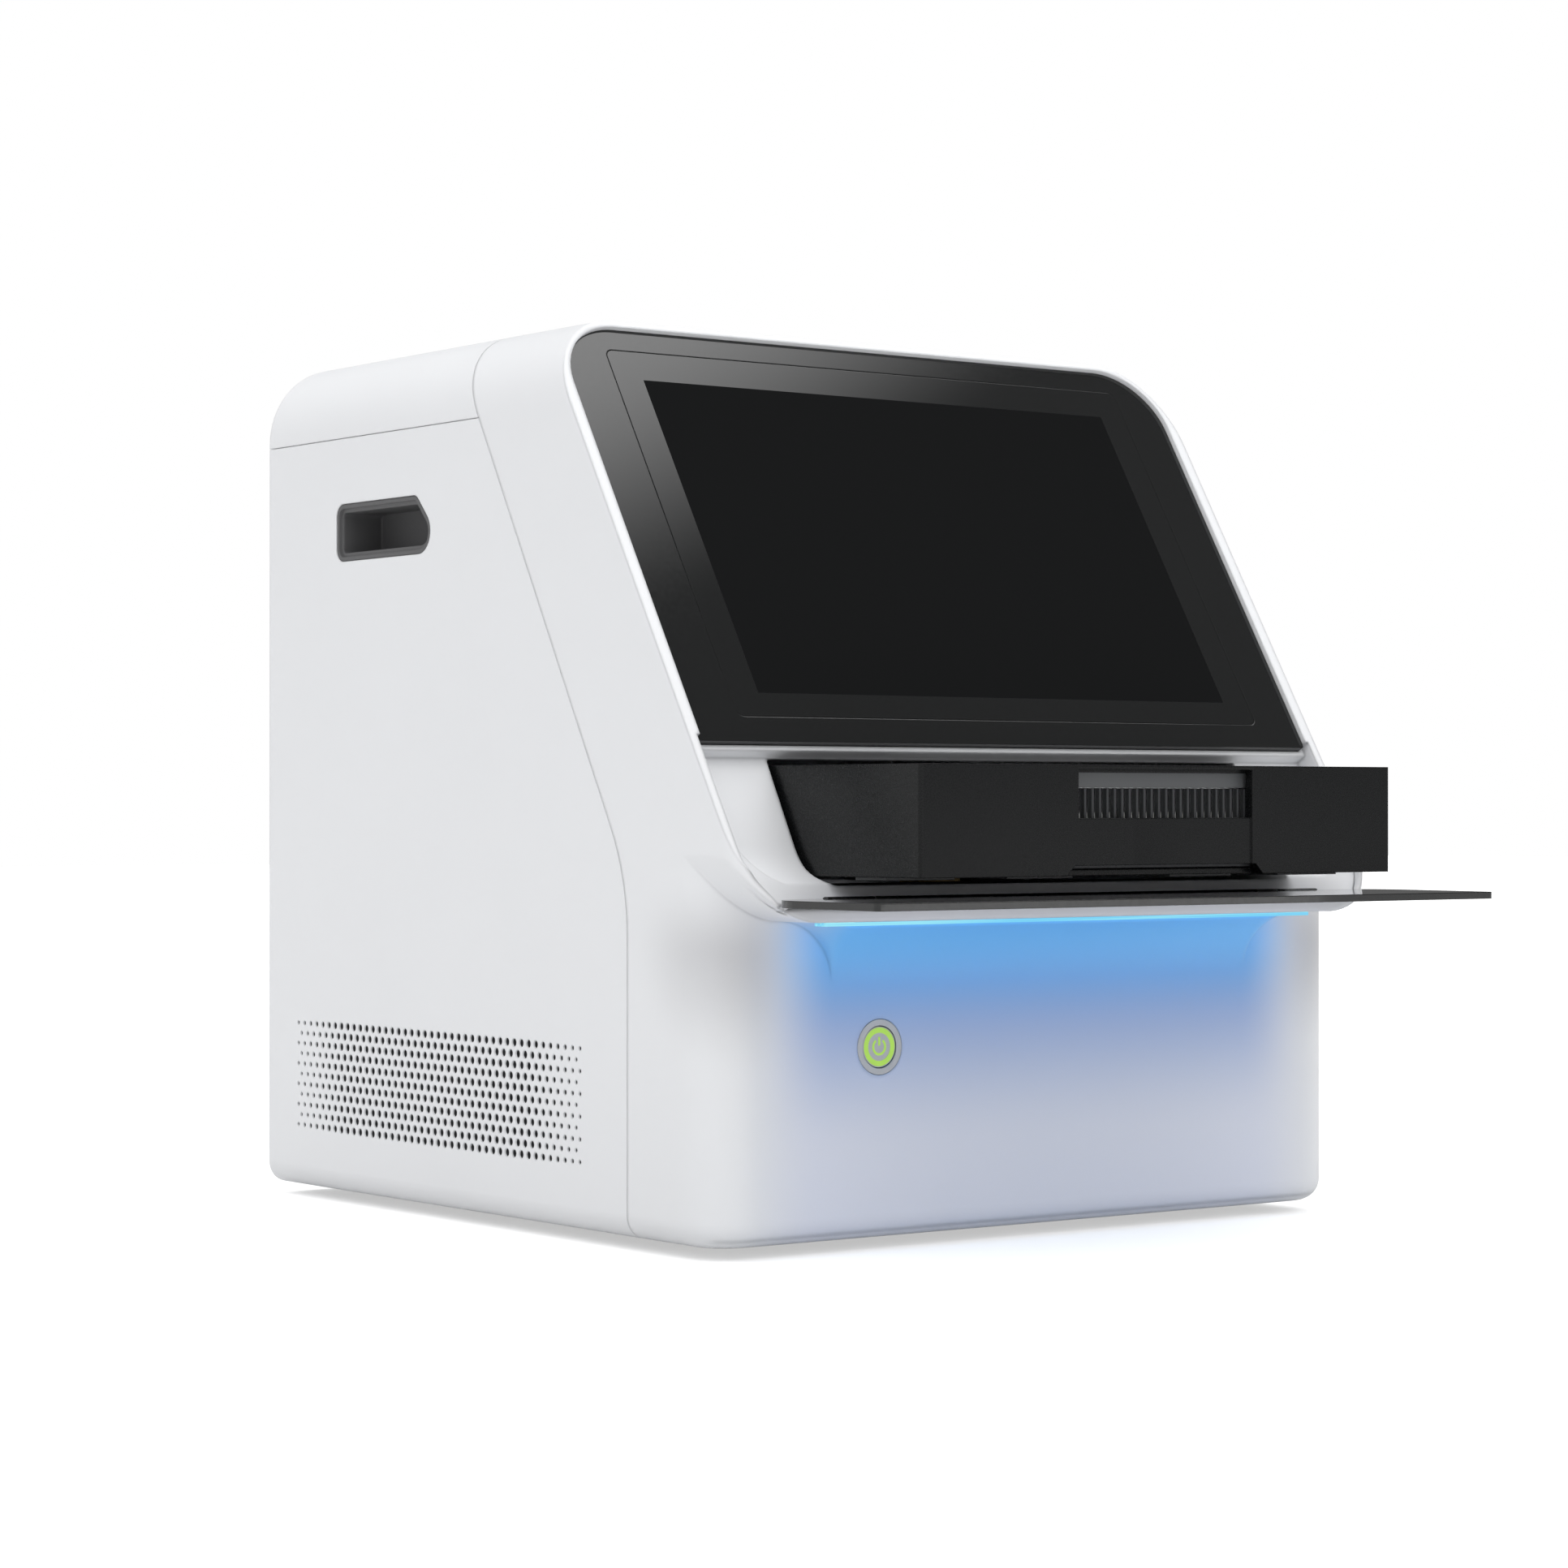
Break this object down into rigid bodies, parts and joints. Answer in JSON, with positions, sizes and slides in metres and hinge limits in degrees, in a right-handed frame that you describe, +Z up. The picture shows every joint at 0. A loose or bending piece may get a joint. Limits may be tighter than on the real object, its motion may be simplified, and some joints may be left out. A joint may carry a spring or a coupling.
{
  "type": "thermal cycler",
  "caption": "Bench-top thermal cycler with a sloped touch screen, a motor-driven sample drawer and a drop-down flap.",
  "frame": {"origin": "on the bench, under the middle of the overall box with the drawer out and the flap open", "axes": "+X to the right seen from the front, +Y to the rear, +Z up"},
  "size_m": [0.35, 0.461, 0.393],
  "materials": {
    "white_shell": "fine matt texture",
    "gloss_black": "gloss",
    "screen_glass": "gloss glass face",
    "drawer_black": "satin",
    "rubber": "matt",
    "handle_grey": "satin",
    "light": "lit diffuser",
    "button_metal": "satin",
    "steel": "zinc plated",
    "aluminium": "machined",
    "pad_grey": "satin",
    "ceramic": "ceramic",
    "brass": "machined",
    "dark_plastic": "matt",
    "dark_metal": "black coated",
    "filter_glass": "coated",
    "board_green": "solder mask"
  },
  "bodies": {
    "cabinet": {"front_housing": "white_shell", "left_side_panel": "white_shell", "right_side_panel": "white_shell", "top_cover": "white_shell", "rear_panel": "white_shell", "base_plate": "steel", "rubber_feet": "rubber", "left_handle_cup": "handle_grey", "right_handle_cup": "handle_grey", "screen_bezel": "gloss_black", "touch_screen": "screen_glass", "lcd_module": "steel", "light_bar": "light", "button_ring": "button_metal", "flap_hinge_brackets": "steel", "flap_hinge_pins": "steel", "chassis_frame": "steel", "fixed_rails": "aluminium", "screw_bearings": "dark_plastic", "drive_motor": "dark_metal", "motor_bracket": "steel", "lid_bridge": "steel", "lid_actuator": "dark_metal", "optics_housing": "dark_plastic", "optics_bracket": "steel", "wheel_motor": "dark_metal", "detector_camera": "dark_metal", "main_board": "board_green", "board_standoffs": "brass", "power_supply": "steel", "fan_frames": "dark_plastic", "fan_guards": "steel", "mains_inlet": "dark_plastic", "mains_switch_frame": "dark_plastic", "data_ports": "steel", "rear_screws": "steel"},
    "drawer": {"drawer_shell": "drawer_black", "drawer_deck": "drawer_black", "glide_pads": "pad_grey", "drawer_runners": "steel", "sample_block": "aluminium", "peltier_modules": "ceramic", "heat_sink": "aluminium", "block_frame": "pad_grey", "lead_nut": "brass"},
    "screw": {"lead_screw": "steel", "shaft_coupling": "aluminium"},
    "flap": {"flap_door": "gloss_black"},
    "button": {"power_button": "button_metal"},
    "lid": {"heated_lid": "aluminium", "lid_guide_posts": "steel", "lid_push_rod": "steel"},
    "wheel": {"filter_wheel": "dark_plastic", "filter_glasses": "filter_glass"},
    "left_fan": {"left_fan_rotor": "dark_plastic"},
    "right_fan": {"right_fan_rotor": "dark_plastic"},
    "rocker": {"mains_rocker": "dark_plastic"}
  },
  "joints": [
    {"name": "drawer_slide", "type": "slide", "parent": "cabinet", "child": "drawer", "axis": [0, 1, 0], "range_m": [0, 0.205]},
    {"name": "flap_hinge", "type": "hinge", "parent": "cabinet", "child": "flap", "pos_m": [0, -0.15424, 0.14426], "axis": [-1, 0, 0], "range_deg": [0, 121.5]},
    {"name": "screw_turn", "type": "hinge", "parent": "cabinet", "child": "screw", "pos_m": [0, 0, 0.146], "axis": [0, 1, 0], "continuous": true},
    {"name": "button_press", "type": "slide", "parent": "cabinet", "child": "button", "axis": [0, 1, 0], "range_m": [0, 0.0015], "stiffness_N_per_m": 800},
    {"name": "lid_slide", "type": "slide", "parent": "cabinet", "child": "lid", "axis": [0, 0, -1], "range_m": [0, 0.01]},
    {"name": "filter_wheel_turn", "type": "hinge", "parent": "cabinet", "child": "wheel", "pos_m": [0, 0.06104, 0.3], "axis": [0, 0, 1], "continuous": true},
    {"name": "left_fan_spin", "type": "hinge", "parent": "cabinet", "child": "left_fan", "pos_m": [-0.078, 0.22504, 0.077], "axis": [0, 1, 0], "continuous": true},
    {"name": "right_fan_spin", "type": "hinge", "parent": "cabinet", "child": "right_fan", "pos_m": [0.078, 0.22504, 0.077], "axis": [0, 1, 0], "continuous": true},
    {"name": "rocker_tilt", "type": "hinge", "parent": "cabinet", "child": "rocker", "pos_m": [0.139, 0.22304, 0.09], "axis": [1, 0, 0], "range_deg": [-6, 6]}
  ],
  "couplings": [
    {"joint": "flap_hinge", "follows": "drawer_slide", "rad_per_m": 10.344},
    {"joint": "screw_turn", "follows": "drawer_slide", "rad_per_m": 314.16}
  ]
}
